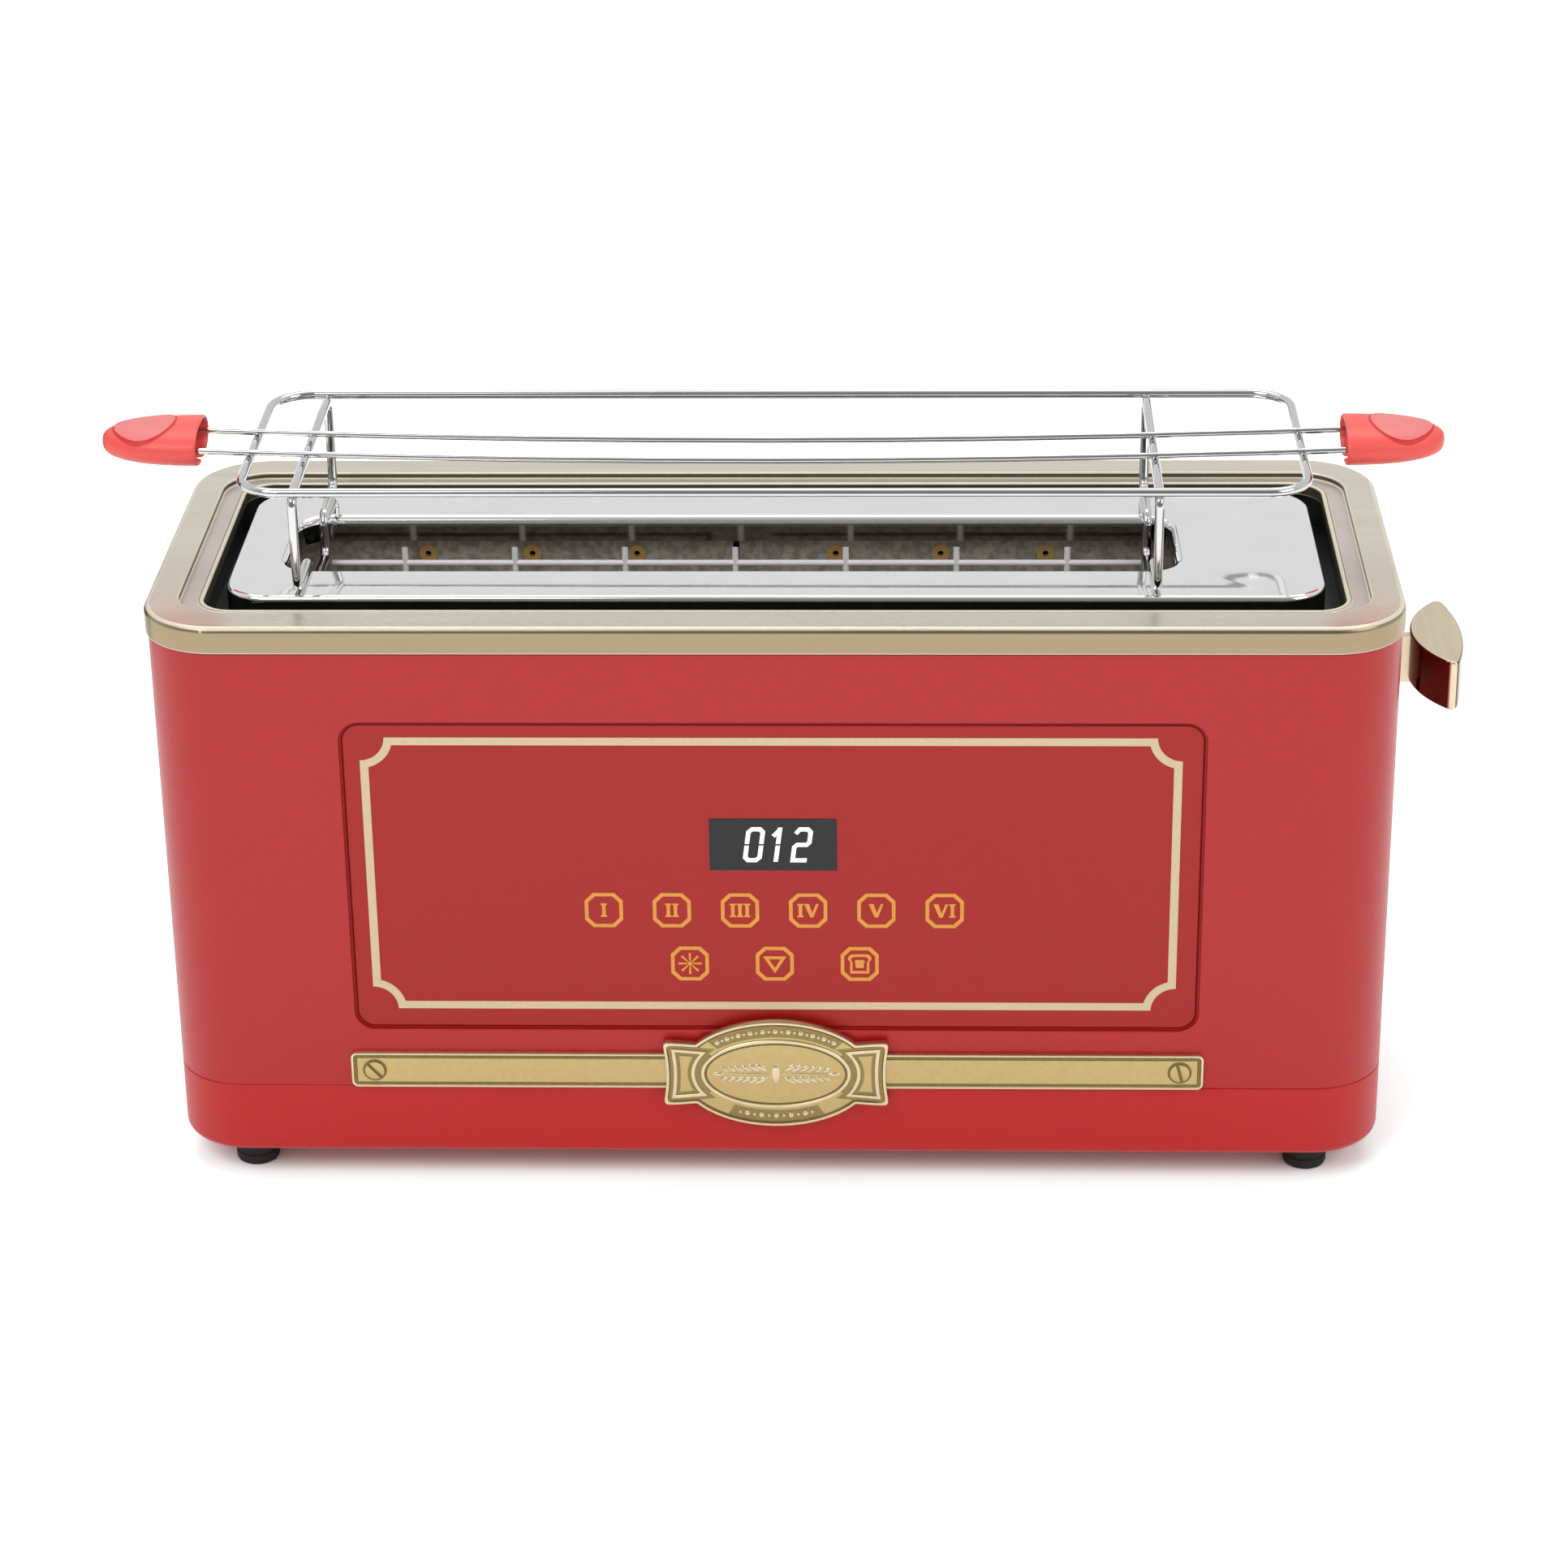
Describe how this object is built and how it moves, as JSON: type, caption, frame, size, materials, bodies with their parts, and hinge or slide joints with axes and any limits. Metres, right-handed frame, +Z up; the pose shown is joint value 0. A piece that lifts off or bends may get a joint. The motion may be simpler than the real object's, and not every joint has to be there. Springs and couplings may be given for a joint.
{
  "type": "toaster",
  "caption": "Free-standing long-slot toaster: red body, brass trim, touch panel, side lever with spring carriage, tilting bread guides, rear crumb tray and lift-off bun rack.",
  "frame": {"origin": "centre of the four feet, on the table, under the middle of the body", "axes": "+X along the slot towards the lever, -Y towards the front panel, +Z up"},
  "size_m": [0.4319, 0.1522, 0.2373],
  "materials": {
    "red_enamel": "gloss baked enamel",
    "panel_red": "satin moulded plastic",
    "brass_trim": "brushed antique brass",
    "black_liner": "black enamel",
    "bright_chrome": "polished plating",
    "plain_steel": "mill finish",
    "black_rubber": "matte moulded rubber",
    "mica_board": "pressed mica sheet",
    "copper_coil": "lacquered copper winding",
    "circuit_board": "green solder mask",
    "cream_print": "printed line",
    "gold_print": "printed line",
    "display_glass": "dark tinted window",
    "display_white": "lit segments",
    "coral_grip": "smooth silicone grip"
  },
  "bodies": {
    "toaster_body": {"body_shell": "red_enamel", "base_skirt": "red_enamel", "control_panel": "panel_red", "trim_ring": "brass_trim", "front_strap": "brass_trim", "oval_badge": "brass_trim", "strap_screws": "brass_trim", "heater_eyelets": "brass_trim", "well_liner": "black_liner", "top_plate": "bright_chrome", "front_reflector": "bright_chrome", "back_reflector": "bright_chrome", "bottom_plate": "plain_steel", "bottom_screws": "plain_steel", "left_end_plate": "plain_steel", "right_end_plate": "plain_steel", "front_heater_ribbons": "plain_steel", "back_heater_ribbons": "plain_steel", "heater_spacers": "plain_steel", "guide_rod": "plain_steel", "return_spring": "plain_steel", "rubber_feet": "black_rubber", "cord_gland": "black_rubber", "front_heater_cards": "mica_board", "back_heater_cards": "mica_board", "electromagnet": "copper_coil", "power_board": "circuit_board", "control_board": "circuit_board", "panel_border": "cream_print", "key_outlines": "gold_print", "display_window": "display_glass", "display_digits": "display_white"},
    "lever": {"lever_knob": "brass_trim", "lever_arm": "brass_trim", "slider": "plain_steel", "bread_carrier": "plain_steel", "armature": "plain_steel"},
    "front_guide": {"front_bread_guide": "bright_chrome"},
    "back_guide": {"back_bread_guide": "bright_chrome"},
    "tray": {"crumb_tray": "plain_steel", "tray_front": "red_enamel"},
    "rack": {"rack_loop": "bright_chrome", "rack_rails": "bright_chrome", "left_rack_leg": "bright_chrome", "right_rack_leg": "bright_chrome", "left_handle": "coral_grip", "right_handle": "coral_grip"}
  },
  "joints": [
    {"name": "lever_slide", "type": "slide", "parent": "toaster_body", "child": "lever", "axis": [0, 0, -1], "range_m": [0, 0.075], "stiffness_N_per_m": 150, "springref_m": -0.05, "deforming": ["return_spring"]},
    {"name": "front_guide_tilt", "type": "hinge", "parent": "toaster_body", "child": "front_guide", "pos_m": [0, -0.0225, 0.0467], "axis": [-1, 0, 0], "range_deg": [0, 4.2]},
    {"name": "back_guide_tilt", "type": "hinge", "parent": "toaster_body", "child": "back_guide", "pos_m": [0, 0.0225, 0.0467], "axis": [1, 0, 0], "range_deg": [0, 4.2]},
    {"name": "tray_slide", "type": "slide", "parent": "toaster_body", "child": "tray", "axis": [0, 1, 0], "range_m": [0, 0.11]},
    {"name": "rack_lift", "type": "slide", "parent": "toaster_body", "child": "rack", "axis": [0, 0, 1], "range_m": [0, 0.06]}
  ],
  "couplings": [
    {"joint": "front_guide_tilt", "follows": "lever_slide", "rad_per_m": 0.93},
    {"joint": "back_guide_tilt", "follows": "lever_slide", "rad_per_m": 0.93}
  ]
}
